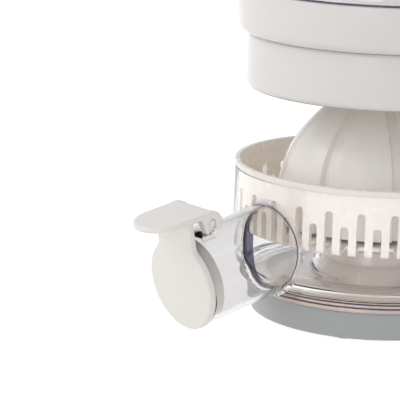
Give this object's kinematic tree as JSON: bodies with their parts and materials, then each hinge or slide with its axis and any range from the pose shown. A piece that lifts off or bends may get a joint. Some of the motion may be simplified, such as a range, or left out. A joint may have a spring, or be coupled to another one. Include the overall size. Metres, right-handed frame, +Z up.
{
  "type": "citrus press juicer",
  "caption": "Countertop juicer with a clear bowl, flapped spout, slotted strainer, ribbed reamer and a domed press head that slides on a rear column.",
  "frame": {"origin": "on the reamer's axis, at the height of the feet", "axes": "+Z up; -Y towards the pouring spout; +Y towards the column; +X to the right of someone who looks at the spout from in front"},
  "size_m": [0.135, 0.2494, 0.1845],
  "materials": {
    "white_plastic": "glossy moulded",
    "cream_plastic": "satin moulded",
    "clear_plastic": "clear polished",
    "grey_plastic": "fine satin",
    "nylon": "plain moulded",
    "silicone": "soft matte",
    "rubber": "matte",
    "steel": "plain machined",
    "circuit": "solder mask"
  },
  "bodies": {
    "base": {"base_shell": "grey_plastic", "base_deck": "cream_plastic", "bottom_plate": "grey_plastic", "foot_front_left": "rubber", "foot_front_right": "rubber", "foot_rear_left": "rubber", "foot_rear_right": "rubber", "foot_centre": "rubber", "base_screw_1": "steel", "base_screw_2": "steel", "base_screw_3": "steel", "base_screw_4": "steel", "bracket_screw_1": "steel", "bracket_screw_2": "steel", "motor_screw_1": "steel", "motor_screw_2": "steel", "output_bush": "nylon", "shaft_seal": "rubber", "idler_axle": "steel", "column_front": "white_plastic", "column_rear": "white_plastic", "column_cap": "white_plastic", "guide_rod_left": "steel", "guide_rod_right": "steel", "rod_bracket_lower": "steel", "rod_bracket_upper": "steel", "safety_switch": "rubber", "power_switch": "rubber", "rear_screw_1": "steel", "rear_screw_2": "steel", "rear_screw_3": "steel", "rear_screw_4": "steel", "motor": "steel", "motor_bracket": "steel", "control_board": "circuit", "power_inlet": "rubber"},
    "power_button": {"power_button": "grey_plastic"},
    "reamer": {"reamer": "white_plastic", "drive_shaft": "steel", "output_gear": "nylon"},
    "idler": {"idler_gear": "nylon"},
    "motor_rotor": {"motor_pinion": "steel", "motor_spindle": "steel"},
    "bowl": {"bowl": "clear_plastic", "strainer": "white_plastic", "hinge_pin": "cream_plastic"},
    "spout_flap": {"spout_flap": "cream_plastic", "flap_seal": "silicone"},
    "press_head": {"lower_collar": "white_plastic", "upper_collar": "white_plastic", "clear_dome": "clear_plastic", "press_cup": "white_plastic", "head_carriage": "grey_plastic", "carriage_bush_left": "nylon", "carriage_bush_right": "nylon", "cup_screw_1": "steel", "cup_screw_2": "steel", "cup_screw_3": "steel", "arm_screw_1": "steel", "arm_screw_2": "steel"}
  },
  "joints": [
    {"name": "bowl_twist", "type": "hinge", "parent": "base", "child": "bowl", "pos_m": [0, 0, 0], "axis": [0, 0, 1], "range_deg": [0, 20]},
    {"name": "flap_hinge", "type": "hinge", "parent": "bowl", "child": "spout_flap", "pos_m": [0, -0.10727, 0.05728], "axis": [-1, 0, 0], "range_deg": [0, 70]},
    {"name": "reamer_spin", "type": "hinge", "parent": "base", "child": "reamer", "pos_m": [0, 0, 0], "axis": [0, 0, 1], "continuous": true},
    {"name": "idler_spin", "type": "hinge", "parent": "base", "child": "idler", "pos_m": [0, 0.057, 0], "axis": [0, 0, 1], "continuous": true},
    {"name": "motor_spin", "type": "hinge", "parent": "base", "child": "motor_rotor", "pos_m": [0, 0.087, 0], "axis": [0, 0, 1], "continuous": true},
    {"name": "head_slide", "type": "slide", "parent": "base", "child": "press_head", "axis": [0, 0, 1], "range_m": [-0.059, 0]},
    {"name": "button_press", "type": "slide", "parent": "base", "child": "power_button", "axis": [0, 0, -1], "range_m": [0, 0.0025], "stiffness_N_per_m": 400}
  ],
  "couplings": [
    {"joint": "idler_spin", "follows": "reamer_spin", "ratio": -1.7143},
    {"joint": "motor_spin", "follows": "reamer_spin", "ratio": 4}
  ]
}
